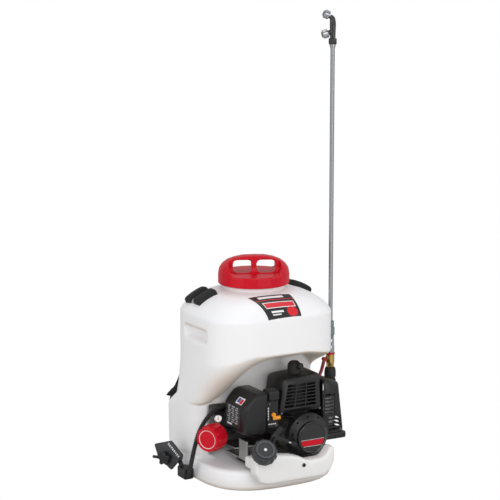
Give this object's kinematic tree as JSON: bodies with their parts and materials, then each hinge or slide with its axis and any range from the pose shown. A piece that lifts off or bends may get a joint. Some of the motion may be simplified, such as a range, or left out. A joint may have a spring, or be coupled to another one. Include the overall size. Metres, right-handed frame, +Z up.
{
  "type": "backpack sprayer",
  "caption": "White blow-moulded backpack spray tank with a red screw cap, a small two-stroke engine and pump in its lower front, and a chrome spray lance clipped to its side",
  "frame": {"origin": "On the floor, under the axis of the filler neck", "axes": "+Z up, the engine side faces -Y and the wearer's back is at +Y, +X towards the lance"},
  "size_m": [0.404, 0.3905, 1.0027],
  "materials": {
    "white_polyethylene": "blow-moulded translucent white polyethylene",
    "red_plastic": "glossy red",
    "dark_red_lever": "dark red",
    "black_plastic": "fine-grained black",
    "black_rubber": "matte rubber",
    "black_webbing": "woven",
    "die_cast_alloy": "as cast",
    "zinc_plated_steel": "zinc plated",
    "chrome": "bright plated",
    "brass": "machined",
    "orange_plastic": "orange",
    "grey_green_sleeve": "matte",
    "filter_foam": "open-cell foam",
    "ivory_plastic": "smooth"
  },
  "bodies": {
    "frame_and_engine": {"air_cleaner_base": "black_plastic", "air_cleaner_cover": "black_plastic", "carburettor": "die_cast_alloy", "control_panel": "black_plastic", "crankcase": "die_cast_alloy", "cylinder": "die_cast_alloy", "engine_cowl": "black_plastic", "engine_plate": "zinc_plated_steel", "filler_strainer": "black_plastic", "filter_foam": "filter_foam", "fuel_tank": "white_polyethylene", "gearcase": "die_cast_alloy", "intake_spacer": "black_plastic", "lance_clip": "black_plastic", "lower_webbing_left": "black_webbing", "lower_webbing_right": "black_webbing", "muffler": "zinc_plated_steel", "muffler_guard": "black_plastic", "outlet_fitting": "brass", "plug_boot": "black_rubber", "pressure_gauge": "ivory_plastic", "pump_body": "black_plastic", "pump_bracket": "zinc_plated_steel", "rope_guide": "black_plastic", "rubber_mount_left": "black_rubber", "rubber_mount_right": "black_rubber", "shoulder_pad_left": "black_webbing", "shoulder_pad_right": "black_webbing", "spark_plug": "chrome", "starter_cover": "black_plastic", "starter_housing": "black_plastic", "strap_anchor_left": "black_plastic", "strap_anchor_right": "black_plastic", "tank": "white_polyethylene", "throttle_clamp": "black_plastic", "throttle_conduit": "black_rubber", "throttle_plate": "black_plastic"},
    "filler_cap": {"tank_cap": "red_plastic", "cap_seal": "black_rubber"},
    "crank": {"crankshaft": "chrome", "flywheel_fan": "die_cast_alloy", "clutch": "zinc_plated_steel"},
    "recoil_handle": {"starter_grip": "black_plastic", "starter_rope": "ivory_plastic"},
    "fuel_filler_cap": {"fuel_cap": "black_plastic"},
    "choke": {"choke_lever": "orange_plastic"},
    "dial": {"pressure_dial": "red_plastic"},
    "throttle": {"throttle_lever": "black_plastic"},
    "lance": {"hose_tail": "brass", "lance_grip": "black_rubber", "trigger_valve": "brass", "lance_nut": "chrome", "lance_sleeve": "grey_green_sleeve", "lance_pipe": "chrome", "nozzle_head": "black_plastic", "nozzle_upper": "chrome", "nozzle_lower": "chrome"},
    "trigger": {"trigger_lever": "dark_red_lever"}
  },
  "joints": [
    {"name": "cap_turn", "type": "hinge", "parent": "frame_and_engine", "child": "filler_cap", "pos_m": [0, 0, 0.43], "axis": [0, 0, 1], "range_deg": [0, 360]},
    {"name": "crank_spin", "type": "hinge", "parent": "frame_and_engine", "child": "crank", "pos_m": [0.055, -0.086, 0.104], "axis": [0, 1, 0], "continuous": true},
    {"name": "recoil_pull", "type": "slide", "parent": "frame_and_engine", "child": "recoil_handle", "axis": [-0.8751, -0.19, 0.4451], "range_m": [0, 0.45], "stiffness_N_per_m": 20},
    {"name": "fuel_cap_turn", "type": "hinge", "parent": "frame_and_engine", "child": "fuel_filler_cap", "pos_m": [-0.0818, -0.19318, 0.09979], "axis": [-0.2006, -0.7222, 0.662], "range_deg": [0, 180]},
    {"name": "choke_turn", "type": "hinge", "parent": "frame_and_engine", "child": "choke", "pos_m": [-0.026, -0.1332, 0.158], "axis": [0, -1, 0], "range_deg": [0, 50]},
    {"name": "dial_turn", "type": "hinge", "parent": "frame_and_engine", "child": "dial", "pos_m": [-0.1288, -0.0698, 0.1115], "axis": [-0.8601, -0.5101, 0], "range_deg": [0, 270]},
    {"name": "throttle_turn", "type": "hinge", "parent": "frame_and_engine", "child": "throttle", "pos_m": [-0.19732, 0.03576, 0.045], "axis": [-0.8, -0.6, 0], "range_deg": [0, 60]},
    {"name": "lance_unclip", "type": "slide", "parent": "frame_and_engine", "child": "lance", "axis": [1, 0, 0], "range_m": [0, 0.12]},
    {"name": "trigger_squeeze", "type": "hinge", "parent": "lance", "child": "trigger", "pos_m": [0.1558, -0.04, 0.2385], "axis": [0, -1, 0], "range_deg": [0, 12], "stiffness_Nm_per_rad": 0.3}
  ]
}
